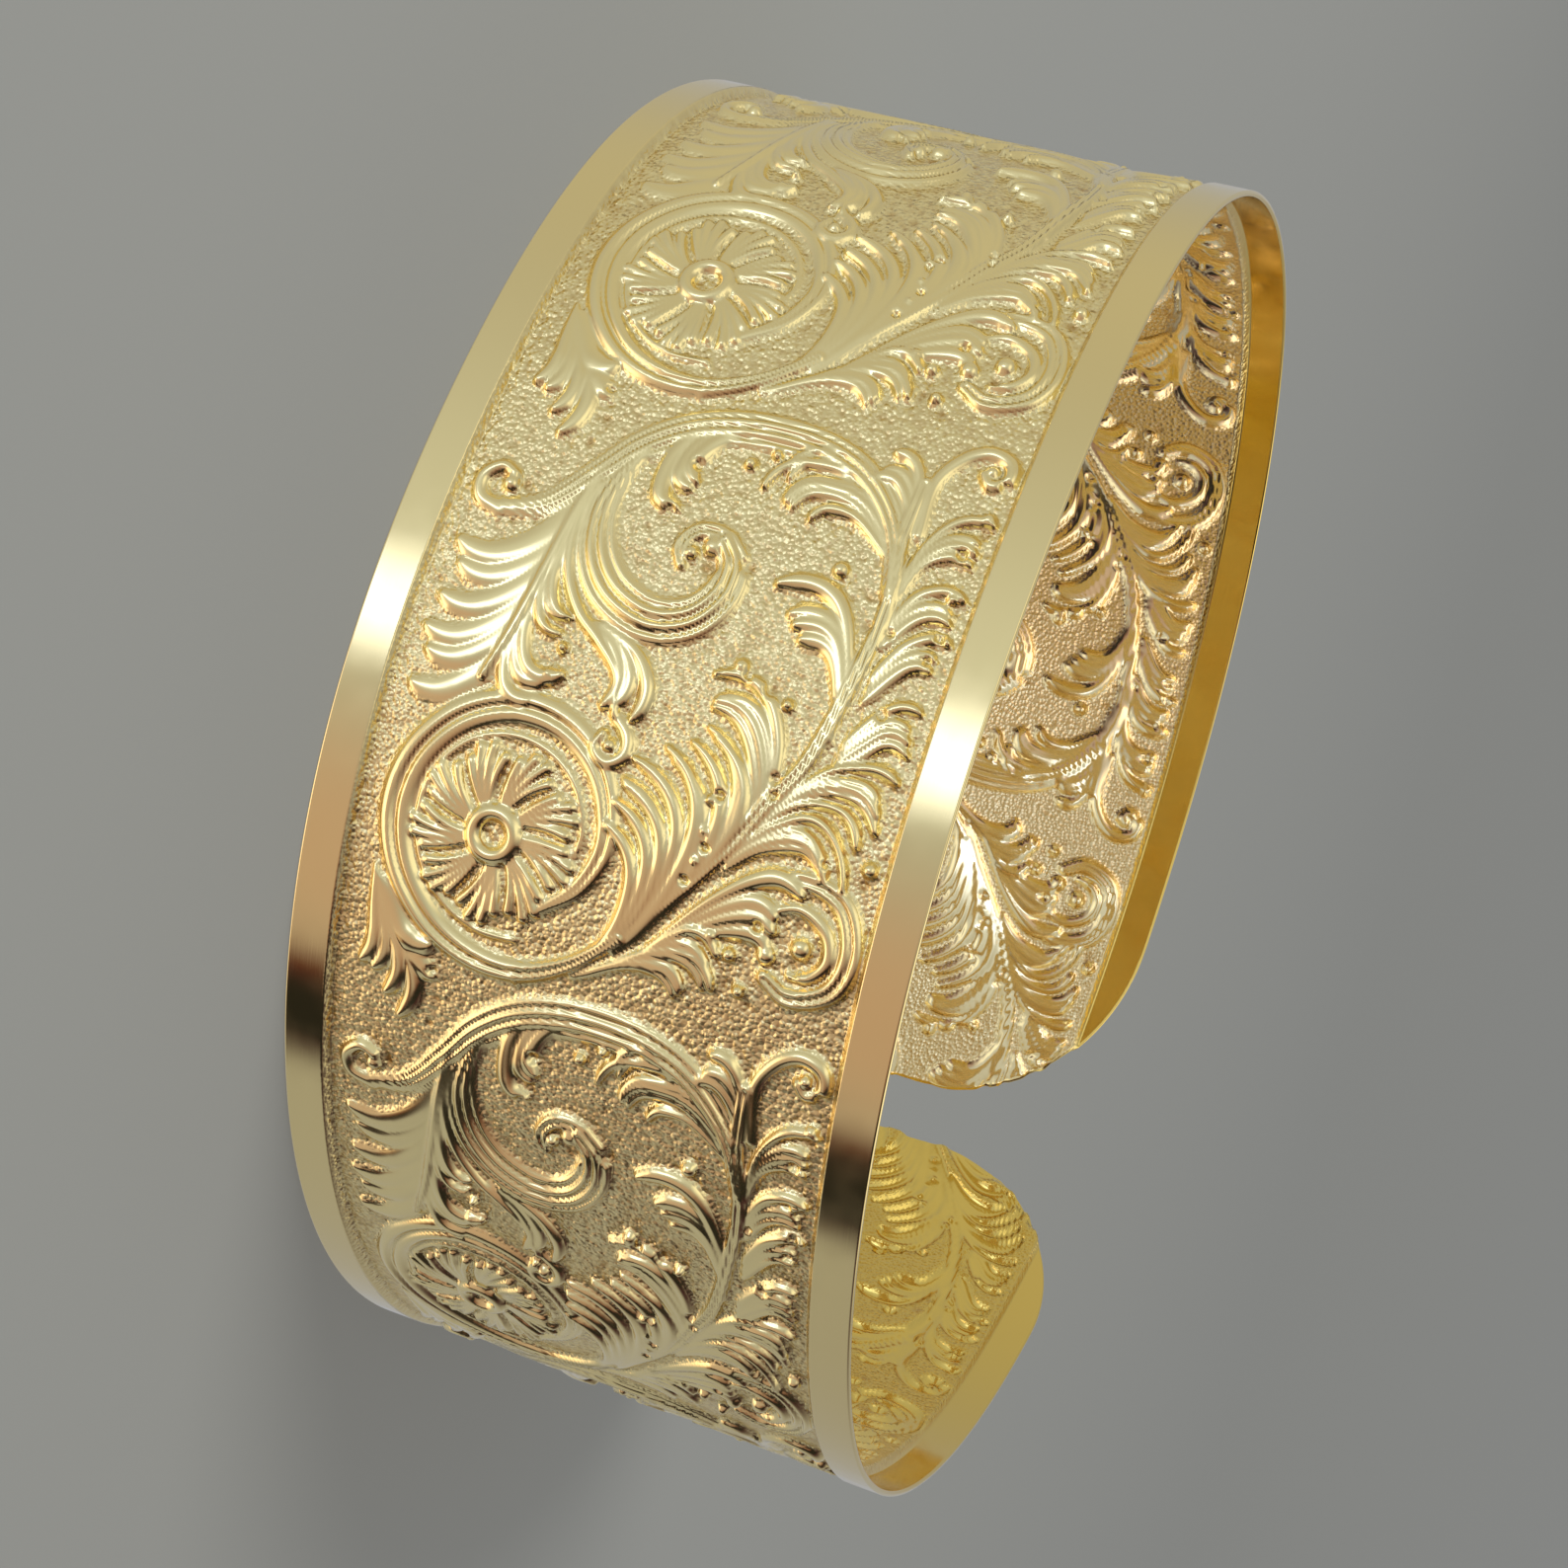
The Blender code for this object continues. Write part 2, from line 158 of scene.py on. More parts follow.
# Leaves of veins side by side: veins, height, then four points of the first and of the last vein
LEAVES = (
    ("plume_by_ring", 6, 0.90,
     (-0.060, 0.190), (0.022, 0.110), (0.044, 0.010), (0.012, -0.085),
     (0.022, 0.130), (0.080, 0.030), (0.098, -0.095), (0.030, -0.215)),
    ("plume_by_spine", 5, 0.88,
     (0.040, 0.118), (0.098, 0.015), (0.122, -0.100), (0.080, -0.225),
     (0.105, 0.022), (0.165, -0.075), (0.192, -0.170), (0.150, -0.285)),
    ("plume_right_top", 5, 0.90,
     (0.232, -0.165), (0.290, -0.228), (0.342, -0.250), (0.400, -0.262),
     (0.215, -0.125), (0.272, -0.178), (0.340, -0.190), (0.402, -0.155)),
    ("plume_right", 4, 0.90,
     (0.190, -0.085), (0.240, -0.134), (0.304, -0.158), (0.394, -0.095),
     (0.180, -0.050), (0.226, -0.092), (0.280, -0.112), (0.326, -0.106)),
    ("small_scroll_leaf", 4, 0.88,
     (0.085, 0.100), (0.172, 0.000), (0.245, -0.056), (0.310, -0.068),
     (0.090, 0.108), (0.176, 0.050), (0.236, 0.028), (0.278, 0.030)),
    ("low_leaf_top", 3, 0.90,
     (0.075, 0.118), (0.125, 0.068), (0.162, 0.048), (0.210, 0.062),
     (0.050, 0.135), (0.110, 0.095), (0.165, 0.085), (0.222, 0.112)),
    ("low_leaf", 4, 0.85,
     (0.030, 0.150), (0.088, 0.108), (0.150, 0.098), (0.200, 0.120),
     (-0.020, 0.178), (0.055, 0.138), (0.108, 0.128), (0.156, 0.146)),
    ("sprig", 4, 0.88,
     (-0.374, 0.100), (-0.364, 0.160), (-0.356, 0.205), (-0.356, 0.260),
     (-0.360, 0.118), (-0.318, 0.200), (-0.284, 0.250), (-0.272, 0.335)),
    ("sprig_right", 2, 0.88,
     (-0.362, 0.125), (-0.325, 0.180), (-0.300, 0.200), (-0.262, 0.212),
     (-0.345, 0.165), (-0.305, 0.215), (-0.275, 0.238), (-0.246, 0.262)),
    ("arch_inside", 3, 0.90,
     (-0.070, 0.250), (-0.106, 0.315), (-0.106, 0.385), (-0.076, 0.418),
     (-0.012, 0.246), (-0.056, 0.290), (-0.074, 0.335), (-0.066, 0.368)),
    ("fringe_top", 2, 0.85,
     (0.245, 0.310), (0.182, 0.262), (0.120, 0.255), (0.060, 0.278),
     (0.258, 0.330), (0.190, 0.276), (0.112, 0.264), (0.046, 0.296)),
    ("fringe", 5, 0.90,
     (0.278, 0.372), (0.198, 0.290), (0.098, 0.282), (0.030, 0.322),
     (0.286, 0.410), (0.205, 0.348), (0.152, 0.338), (0.112, 0.356)),
    ("fan_left", 3, 0.85,
     (0.282, 0.350), (0.270, 0.308), (0.242, 0.275), (0.200, 0.268),
     (0.290, 0.330), (0.276, 0.270), (0.258, 0.235), (0.226, 0.212)),
    ("side_leaf_1", 4, 0.88,
     (0.304, 0.440), (0.318, 0.372), (0.350, 0.322), (0.404, 0.288),
     (0.308, 0.470), (0.326, 0.405), (0.354, 0.376), (0.396, 0.364)),
    ("side_leaf_2", 3, 0.85,
     (0.310, 0.500), (0.335, 0.450), (0.364, 0.430), (0.408, 0.420),
     (0.312, 0.535), (0.340, 0.490), (0.366, 0.470), (0.402, 0.462)),
    ("side_leaf_3", 3, 0.85,
     (0.312, 0.585), (0.342, 0.532), (0.370, 0.508), (0.406, 0.492),
     (0.312, 0.622), (0.342, 0.575), (0.366, 0.550), (0.396, 0.538)),
    ("side_leaf_4", 4, 0.85,
     (0.304, 0.690), (0.335, 0.645), (0.362, 0.618), (0.400, 0.602),
     (0.300, 0.735), (0.335, 0.700), (0.365, 0.672), (0.404, 0.668)),
    ("fern_left", 6, 0.55,
     (-0.216, 0.420), (-0.250, 0.495), (-0.305, 0.545), (-0.385, 0.570),
     (-0.246, 0.640), (-0.270, 0.715), (-0.318, 0.770), (-0.385, 0.805)),
    ("fern_right", 3, 0.85,
     (-0.216, 0.460), (-0.220, 0.545), (-0.204, 0.598), (-0.172, 0.630),
     (-0.228, 0.540), (-0.228, 0.590), (-0.212, 0.635), (-0.176, 0.662)),
    ("fern_foot", 3, 0.85,
     (-0.236, 0.590), (-0.232, 0.660), (-0.206, 0.708), (-0.150, 0.722),
     (-0.246, 0.640), (-0.250, 0.700), (-0.232, 0.750), (-0.190, 0.775)),
    ("sprig_low", 3, 0.85,
     (-0.145, 0.615), (-0.090, 0.640), (-0.062, 0.680), (-0.056, 0.735),
     (-0.115, 0.612), (-0.050, 0.640), (-0.014, 0.680), (0.004, 0.745)),
    ("upper_leaf_1", 4, 0.88,
     (0.284, 0.650), (0.268, 0.560), (0.222, 0.482), (0.130, 0.450),
     (0.284, 0.690), (0.272, 0.620), (0.245, 0.562), (0.194, 0.538)),
    ("upper_leaf_2", 4, 0.88,
     (0.222, 0.790), (0.208, 0.710), (0.168, 0.648), (0.085, 0.612),
     (0.205, 0.830), (0.190, 0.770), (0.158, 0.712), (0.104, 0.668)),
)

# Veins: how far they overlap, their least and most half width, and how wide they are from foot to
# tip; then where their tips hook over, by how much they turn, and how unevenly they end and stand
VEIN_OVERLAP = 1.26
LEAST_HALF = 0.0045
MOST_HALF = 0.026
VEIN_PLACES = (0.0, 0.1, 0.72, 0.92, 1.0)
VEIN_WIDTHS = (0.6, 1.0, 1.0, 0.78, 0.45)
VEIN_LIFT = 0.55
HOOK_FROM = 0.70
HOOK_TURN = 0.75
HOOK_POWER = 1.5
SHORTER = (0.0, 0.10, 0.04)
UNEVEN = 0.10

# Round knobs and punched pits at the leaf tips: x, y and radius
KNOBS = (
    (0.276, 0.052, 0.017), (0.326, 0.028, 0.018), (0.186, 0.048, 0.013), (0.220, 0.068, 0.013),
    (0.246, 0.118, 0.012), (0.330, -0.100, 0.012), (0.398, -0.112, 0.014), (0.010, 0.452, 0.018),
    (-0.020, 0.470, 0.013), (-0.340, 0.436, 0.016), (0.212, 0.436, 0.015), (0.118, 0.618, 0.014),
    (0.205, 0.655, 0.011), (0.376, 0.222, 0.013), (0.398, 0.300, 0.013), (0.392, 0.440, 0.012),
    (-0.044, 0.786, 0.013), (-0.172, 0.708, 0.011), (-0.164, 0.664, 0.010), (0.134, -0.145, 0.009),
    (0.138, -0.098, 0.009), (0.136, -0.052, 0.009), (0.014, 0.306, 0.012), (0.050, 0.282, 0.010),
)
PITS = (
    (-0.318, 0.428, 0.014), (-0.078, 0.412, 0.011), (0.016, 0.482, 0.019), (0.076, 0.468, 0.017),
    (0.268, 0.461, 0.014), (0.280, 0.508, 0.012), (0.175, 0.640, 0.015), (0.134, 0.630, 0.009),
    (0.346, 0.632, 0.011), (0.222, -0.200, 0.010), (0.226, -0.176, 0.008), (0.392, -0.088, 0.013),
    (0.333, -0.103, 0.009), (0.314, -0.003, 0.011), (0.254, 0.014, 0.010), (0.320, 0.060, 0.016),
    (0.225, 0.086, 0.009), (0.224, 0.112, 0.011), (0.262, 0.140, 0.011), (0.148, -0.155, 0.009),
    (0.146, -0.075, 0.008), (0.126, -0.020, 0.008), (0.404, 0.242, 0.011), (0.398, 0.320, 0.012),
    (0.380, 0.366, 0.011), (0.398, 0.450, 0.012), (0.392, 0.500, 0.010), (0.386, 0.538, 0.009),
    (-0.250, 0.240, 0.011), (-0.240, 0.290, 0.010), (-0.250, 0.335, 0.010), (-0.044, 0.764, 0.008),
    (0.318, 0.512, 0.007), (-0.062, 0.330, 0.012),
)

# Rosette: lobes of fine flutes round a dished button
LOBES = 9
FLUTES_A_LOBE = 4
LOBE_SPREAD = 0.70
FOOT_SPREAD = 0.45
LOBE_ROUNDING = 0.13
FLUTE_START = 0.050
FLUTE_END = 0.136
FLUTE_HALF = 0.0115
FLUTE_FOOT = 0.5
FLUTE_HEIGHT = 0.74
FLUTE_LEAN = 0.20
FLUTE_LIFT = 0.6
FLUTE_POINTS = 6
BUTTON_RADIUS = 0.034
BUTTON_HALF = 0.016
BUTTON_HEIGHT = 0.95
BUTTON_HOLLOW = 0.026
BUTTON_DEPTH = 0.05
BUTTON_POINTS = 33

# Fine punched ground: its share of the relief and the size of its grain in chart cells
GRAIN_HEIGHT = 0.03
GRAIN_CELLS = 1.1
SEED = 7

# Metal: its colours, how rough it is, and the size and depth of its grain and drawn lines
GOLD = (0.96, 0.78, 0.36, 1.0)
# Painted shade: the warm brown that the pits and low ground are coloured
HOLLOW_PAINTED_SHADE_GOLD = (0.62, 0.40, 0.14, 1.0)
# Painted light inside: a paler copy of the gold; painted shade: a deeper amber copy for the end and borders
INSIDE_PAINTED_LIGHT_GOLD = (0.98, 0.81, 0.44, 1.0)
END_PAINTED_SHADE_GOLD = (0.86, 0.62, 0.15, 1.0)
GROUND_GOLD = (0.95, 0.78, 0.37, 1.0)
PLAIN_ROUGHNESS = 0.12
RAISED_ROUGHNESS = 0.16
GROUND_ROUGHNESS = 0.30
GRAIN_SIZE = 0.00019
GRAIN_DEPTH = 0.000055
LINE_SIZE = 0.00006
LINE_LENGTH = 0.006
LINE_DEPTH = 0.0000012
NOISE_DETAIL = 1.0
LINE_NOISE_ROUGHNESS = 0.6

# Places of the Mix node's sockets for colours
FIRST_COLOUR = 6
SECOND_COLOUR = 7
MIXED_COLOUR = 2

# Where the metal's finish changes, and where the painted shade of the hollows and of the inside's end comes
# in, as a low
# and a high end: share of the relief, then metres along
GROUND_FADES = (0.05, 0.35)
HOLLOW_PAINTED_SHADE_FADES = (-0.12, 0.02)
END_PAINTED_SHADE_FADES = (0.045, 0.065)

# Slow drift of the ground's colour and fine wear of the roughness
DRIFT_SCALE = 90.0
DRIFT_NOISE_ROUGHNESS = 0.55
DRIFT_RANGE = (0.35, 0.65)
DRIFT_LEAST = 0.2
WEAR_SCALE = 700.0
WEAR_NOISE_ROUGHNESS = 0.6
WEAR_RANGE = (0.3, 0.7)
WEAR_ROUGHNESS = (-0.03, 0.05)

# Surroundings: the even light, then each card's azimuth, elevation, half width and half height in
# degrees, how square its edges are, and the light it adds or takes away
BASE_LIGHT = (0.41, 0.43, 0.48)
CARDS = (
    ("window", -82, -20, 7, 17, 1.5, (1.60, 1.90, 2.90)),
    ("window_glow", -94, -10, 26, 50, 1.0, (0.24, 0.30, 0.40)),
    ("warm_card", -38, -15, 22, 60, 1.5, (0.14, 0.00, -0.06)),
    ("black_card", -5.5, -15, 10, 70, 2.5, (-0.42, -0.47, -0.52)),
    ("left_glow", -160, 0, 45, 60, 1.0, (0.15, 0.13, 0.05)),
    ("lamp_high", -95, 48, 26, 16, 1.5, (0.65, 0.64, 0.58)),
    ("lamp_low", -30, -60, 24, 17, 2.0, (1.70, 1.42, 1.20)),
    ("dark_high", 5, 34, 42, 30, 1.5, (-0.36, -0.41, -0.45)),
    ("lamp_far", 85, 60, 20, 14, 1.5, (1.20, 1.16, 1.00)),
)
LEAST_LIGHT = 0.02

# A card shows only on its own side: cosines of the angle from its middle between which it fades in
CARD_FADES = (0.0, 0.2)

# Floor: its colours, then how far it runs flat, the radius that it bends up with and its wall's top
FLOOR_COLOUR = (0.155, 0.158, 0.147, 1.0)
FLOOR_GLOW_COLOUR = (0.99, 1.0, 0.95, 1.0)
FLOOR_GLOW = 0.120
FLOOR_ROUGHNESS = 0.9
FLOOR_SPECULAR = 0.1
FLOOR_REACH = 0.45
FLOOR_BEND = 0.25
FLOOR_TOP = 0.6
FLOOR_BEND_STEPS = 16
FLOOR_SIDES = 64

# Soft light above, which lights the floor only
TOP_LIGHT_PLACE = (-0.22, -0.28, 0.36)
TOP_LIGHT_SIZE = 0.24
TOP_LIGHT_STRENGTH = 2.0
TOP_LIGHT_COLOUR = (1.0, 0.98, 0.95)

# Camera: place, then which way it looks and how far it is rolled, in degrees
CAMERA_PLACE = (0.04182, -0.11178, 0.04550)
CAMERA_AZIMUTH = 110.81
CAMERA_ELEVATION = -17.29
CAMERA_ROLL = 106.35
LENS = 61.135
SENSOR_WIDTH = 36.0
NEAREST = 0.005
FARTHEST = 10.0


def smooth_through(points):
    """Points of a smooth curve that passes through each of the given ones."""
    points = np.array(points)
    ends = np.vstack([2 * points[0] - points[1], points, 2 * points[-1] - points[-2]])
    share = np.linspace(0.0, 1.0, POINTS_A_SPAN + 1)[:-1, None]
    spans = []
    for a, b, c, d in zip(ends[:-3], ends[1:-2], ends[2:-1], ends[3:]):
        spans.append(
            0.5 * (2 * b + (c - a) * share + (2 * a - 5 * b + 4 * c - d) * share**2
                   + (3 * b - 3 * c + d - a) * share**3)
        )
    return np.vstack([*spans, points[-1:]])


def half_widths(first, middle, last, count):
    """Half widths of a stem that swells from its start to its middle and narrows to its end."""
    share = np.linspace(0.0, 1.0, count)
    rising = first + (middle - first) * np.sin(np.pi * share)
    falling = last + (middle - last) * np.sin(np.pi * share)
    return np.where(share < 0.5, rising, falling)


def hooked(points, shorter):
    """A vein with its last stretch turned further the way that it bends, and a little shortened."""
    steps = np.diff(points, axis=0) * (1.0 - shorter)
    heading = np.unwrap(np.arctan2(steps[:, 1], steps[:, 0]))
    share = np.linspace(0.0, 1.0, len(steps))
    turn = np.clip((share - HOOK_FROM) / (1.0 - HOOK_FROM), 0.0, 1.0) ** HOOK_POWER * HOOK_TURN
    heading = heading + turn * np.sign(heading[-1] - heading[0])
    length = np.hypot(*steps.T)
    steps = np.stack([length * np.cos(heading), length * np.sin(heading)], 1)
    return np.vstack([points[:1], points[0] + np.cumsum(steps, 0)])


class Chart:
    """Height of one repeat of the ornament on a fine grid, which wraps round along the band."""

    def __init__(self):
        self.columns = round(2 * CHART_HALF / CHART_STEP) + 1
        self.rows = round(REPEAT / CHART_STEP)
        self.dx = 2 * CHART_HALF / (self.columns - 1)
        self.dy = REPEAT / self.rows
        self.height = np.zeros((self.rows, self.columns))

    def window(self, low, high):
        """Index into the grid, and x and y there, for a box of the chart."""
        first = max(0, int((low[0] + CHART_HALF) / self.dx))
        last = min(self.columns, int((high[0] + CHART_HALF) / self.dx) + 2)
        rows = np.arange(math.floor(low[1] / self.dy), math.ceil(high[1] / self.dy) + 1)
        columns = np.arange(first, last)
        x = -CHART_HALF + columns[None, :] * self.dx + 0.0 * rows[:, None]
        y = rows[:, None] * self.dy + 0.0 * columns[None, :]
        return np.ix_(rows % self.rows, columns), x, y

    def stroke(self, points, widths, height, flutes=1, lift=1.0):
        """A rounded ridge of one or more flutes, which starts at a share, lift, of its height."""
        reach = widths.max()
        place, x, y = self.window(points.min(0) - reach, points.max(0) + reach)
        away = np.full(x.shape, np.inf)
        share = np.zeros(x.shape)
        side = np.ones(x.shape)
        for i in range(len(points) - 1):
            start = points[i]
            step = points[i + 1] - start
            t = np.clip(((x - start[0]) * step[0] + (y - start[1]) * step[1]) / (step @ step), 0.0, 1.0)
            distance = np.hypot(x - start[0] - t * step[0], y - start[1] - t * step[1])
            distance /= widths[i] + (widths[i + 1] - widths[i]) * t
            nearer = distance < away
            turn = (x - start[0]) * step[1] - (y - start[1]) * step[0]
            share = np.where(nearer, (i + t) / (len(points) - 1), share)
            side = np.where(nearer, np.sign(turn), side)
            away = np.minimum(away, distance)
        away = np.clip(away, 0.0, 1.0)
        ridge = (1.0 - away**2) ** RIDGE_POWER
        if flutes > 1:
            across = (side * away + 1.0) / 2
            groove = FLUTE_GROOVE * np.minimum(1.0, share * FLUTES_FROM)
            waves = 0.5 + 0.5 * np.cos(2 * np.pi * flutes * across)
            ridge = ridge * (1.0 - groove * waves**GROOVE_POWER)
        ridge = ridge * height * (lift + (1.0 - lift) * np.minimum(1.0, share * LIFT_RATE))
        self.height[place] = np.maximum(self.height[place], ridge)

    def leaf(self, count, height, first, last):
        """Veins side by side between a first and a last one, whose tips part, narrow and hook over."""
        first = smooth_through(first)
        last = smooth_through(last)
        room = np.hypot(*(last - first).T) / max(count - 1, 1)
        steps = np.linspace(0.0, 1.0, len(first))
        widths = np.clip(room / 2 * VEIN_OVERLAP, LEAST_HALF, MOST_HALF)
        widths = widths * np.interp(steps, VEIN_PLACES, VEIN_WIDTHS)
        for i in range(count):
            share = i / max(count - 1, 1)
            vein = first + (last - first) * share
            vein = hooked(vein, SHORTER[i % len(SHORTER)])
            self.stroke(vein, widths, height * (1.0 - UNEVEN * (i % 2)), lift=VEIN_LIFT)

    def pit(self, x0, y0, radius, depth):
        """A round hollow, which reaches that far below the ground."""
        place, x, y = self.window((x0 - radius, y0 - radius), (x0 + radius, y0 + radius))
        away = np.clip(np.hypot(x - x0, y - y0) / radius, 0.0, 1.0)
        bowl = (1.0 - away**2) ** PIT_POWER
        self.height[place] = self.height[place] * (1.0 - bowl) - depth * bowl

    def knob(self, x0, y0, radius, height):
        """A round knob."""
        place, x, y = self.window((x0 - radius, y0 - radius), (x0 + radius, y0 + radius))
        away = np.clip(np.hypot(x - x0, y - y0) / radius, 0.0, 1.0)
        self.height[place] = np.maximum(self.height[place], height * np.sqrt(1.0 - away**2))

    def rosette(self):
        """Lobes, each a fan of flutes from a narrow foot, round a dished button."""
        share = np.linspace(0.0, 1.0, FLUTE_POINTS)
        widths = FLUTE_HALF * (FLUTE_FOOT + (1.0 - FLUTE_FOOT) * share)
        for lobe in range(LOBES):
            for flute in range(FLUTES_A_LOBE):
                aside = 2 * flute / (FLUTES_A_LOBE - 1) - 1.0
                end = FLUTE_END * (1.0 - LOBE_ROUNDING * aside**2)
                radius = FLUTE_START + (end - FLUTE_START) * share
                fan = FOOT_SPREAD + (LOBE_SPREAD - FOOT_SPREAD) * share
                angle = 2 * math.pi / LOBES * (lobe + 0.5 * aside * fan) + FLUTE_LEAN * share
                points = np.stack(
                    [ROSETTE[0] + radius * np.cos(angle), ROSETTE[1] + radius * np.sin(angle)], 1
                )
                self.stroke(points, widths, FLUTE_HEIGHT, lift=FLUTE_LIFT)
        angle = np.linspace(0.0, 2 * math.pi, BUTTON_POINTS)
        ring = np.stack(
            [ROSETTE[0] + BUTTON_RADIUS * np.cos(angle), ROSETTE[1] + BUTTON_RADIUS * np.sin(angle)], 1
        )
        self.stroke(ring, np.full(len(ring), BUTTON_HALF), BUTTON_HEIGHT)
        self.pit(*ROSETTE, BUTTON_HOLLOW, BUTTON_DEPTH)

    def blurred(self, height, cells):
        """Heights smoothed over that many cells, wrapping along the band."""
        reach = math.ceil(BLUR_REACH * cells)
        weights = np.exp(-0.5 * (np.arange(-reach, reach + 1) / cells) ** 2)
        weights /= weights.sum()
        result = np.zeros_like(height)
        for shift, weight in zip(range(-reach, reach + 1), weights):
            result += weight * np.roll(height, shift, 0)
        padded = np.pad(result, ((0, 0), (reach, reach)), "edge")
        result = np.zeros_like(result)
        for shift, weight in zip(range(2 * reach + 1), weights):
            result += weight * padded[:, shift : shift + self.columns]
        return result

    def grain(self):
        """Fine uneven punching, which shows where the ground lies bare."""
        noise = np.random.default_rng(SEED).standard_normal(self.height.shape)
        noise = self.blurred(noise, GRAIN_CELLS)
        return noise / noise.std()


def charted_ornament():
    """The whole repeat, with its heights for the outside and the softer ones for the inside."""
    chart = Chart()
    chart.rosette()
    for _, first, middle, last, flutes, height, *corners in STEMS:
        points = smooth_through(corners)
        widths = half_widths(first, middle, last, len(points))
        chart.stroke(points, widths, height, flutes=flutes, lift=STEM_LIFT)
    for _, veins, height, *corners in LEAVES:
        chart.leaf(veins, height, corners[:4], corners[4:])
    for x, y, radius in KNOBS:
        chart.knob(x, y, radius, KNOB_HEIGHT)
    for x, y, radius in PITS:
        chart.pit(x, y, radius, PIT_DEPTH)
    smooth = chart.blurred(chart.height, CHART_BLUR)
    bare = np.clip(1.0 - smooth / GROUND_BELOW, 0.0, 1.0)
    chart.outer = smooth + GRAIN_HEIGHT * bare * chart.grain()
    chart.inner = chart.blurred(chart.height, INSIDE_BLUR)
    return chart


def sampled(grid, chart, x, y):
    """Values of a chart's grid between its cells; x and y in band widths."""
    column = np.clip((x + CHART_HALF) / chart.dx, 0.0, chart.columns - 1 - JUST_INSIDE)
    row = y / chart.dy
    left = np.floor(column).astype(int)
    low = np.floor(row).astype(int)
    u = column - left
    v = row - low
    low_row = low % chart.rows
    high_row = (low + 1) % chart.rows
    below = grid[low_row, left] * (1 - u) + grid[low_row, left + 1] * u
    above = grid[high_row, left] * (1 - u) + grid[high_row, left + 1] * u
    return below * (1 - v) + above * v


def bent_line():
    """Places along the band with their plan position and heading, set where the solid stands."""
    half = BLANK_LENGTH / 2
    table = np.array(BENDS)
    along = np.linspace(-half, half, 2 * BEND_STEPS + 1)
    share = np.abs(along) / half
    left = np.interp(share, table[:, 0], table[:, 1])
    right = np.interp(share, table[:, 0], table[:, 2])
    bend = np.where(along < 0.0, left, right) / half
    step = along[1] - along[0]
    heading = np.concatenate([[0.0], np.cumsum((bend[1:] + bend[:-1]) / 2 * step)])
    heading = heading - heading[BEND_STEPS]
    x = np.concatenate([[0.0], np.cumsum((np.cos(heading[1:]) + np.cos(heading[:-1])) / 2 * step)])
    y = np.concatenate([[0.0], np.cumsum((np.sin(heading[1:]) + np.sin(heading[:-1])) / 2 * step)])
    line = np.stack([x, y], 1)
    outer = line + RELIEF * np.stack([np.sin(heading), -np.cos(heading)], 1)
    low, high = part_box(NODE)
    middle = np.array([(low.x + high.x) / 2, (low.y + high.y) / 2])
    return along, line + middle - (outer.min(0) + outer.max(0)) / 2, heading


def end_of(across):
    """How far from the middle a line along the band ends, where the corners are rounded off."""
    into = (CORNER_ACROSS - (BAND_WIDTH / 2 - np.abs(across))) / CORNER_ACROSS
    into = np.clip(into, 0.0, 1.0)
    return BLANK_LENGTH / 2 - CORNER_ALONG * (1.0 - np.sqrt(1.0 - into**2))


def from_cut_edge(across, along):
    """Distance to the nearest edge of the band, near enough within the width of its rounding."""
    from_side = BAND_WIDTH / 2 - np.abs(across)
    beyond = np.abs(along) - (BLANK_LENGTH / 2 - CORNER_ALONG)
    inward = CORNER_ACROSS - from_side
    radius = np.hypot(np.maximum(beyond, 0.0) / CORNER_ALONG, np.maximum(inward, 0.0) / CORNER_ACROSS)
    in_corner = (beyond > 0.0) & (inward > 0.0)
    corner = (1.0 - radius) * CORNER_ACROSS
    from_end = BLANK_LENGTH / 2 - np.abs(along)
    return np.maximum(np.where(in_corner, corner, np.minimum(from_side, from_end)), 0.0)


def face_rows(field_rows, plain_rows):
    """Places of one face's lines across the band, from its lower to its upper edge."""
    edge = BAND_WIDTH / 2
    field = edge - BORDER - BORDER_STEP
    near_edge = edge - EDGE_ROUND * np.array(EDGE_ROWS)
    plain = np.linspace(edge - EDGE_ROUND, edge - BORDER, plain_rows + 1)[1:]
    step = np.linspace(edge - BORDER, field, STEP_ROWS + 1)[1:-1]
    border = np.concatenate([near_edge, plain, step])
    return np.concatenate([-border, np.linspace(-field, field, field_rows), border[::-1]])


def column_shares():
    """Columns from end to end: -1 to 1 over the long middle, then shares of the end zones."""
    middle_half = BLANK_LENGTH / 2 - END_ZONE
    count = 2 * math.ceil(middle_half / COLUMN_PITCH)
    ends = math.ceil(END_ZONE / COLUMN_PITCH)
    zone = np.linspace(0.0, 1.0 - EDGE_ROUND / END_ZONE, ends)[1:]
    rounding = 1.0 - EDGE_ROUND / END_ZONE * np.array(EDGE_ROWS)[::-1][1:]
    zone = np.concatenate([zone, rounding])
    return np.concatenate([-1.0 - zone[::-1], np.linspace(-1.0, 1.0, count + 1), 1.0 + zone])


def places_along(shares, across):
    """Place along the band of each column on each line across it."""
    middle_half = BLANK_LENGTH / 2 - END_ZONE
    inside = np.clip(shares, -1.0, 1.0)[:, None] * middle_half
    beyond = np.maximum(np.abs(shares) - 1.0, 0.0)[:, None]
    return inside + np.sign(shares)[:, None] * beyond * (end_of(across)[None, :] - middle_half)


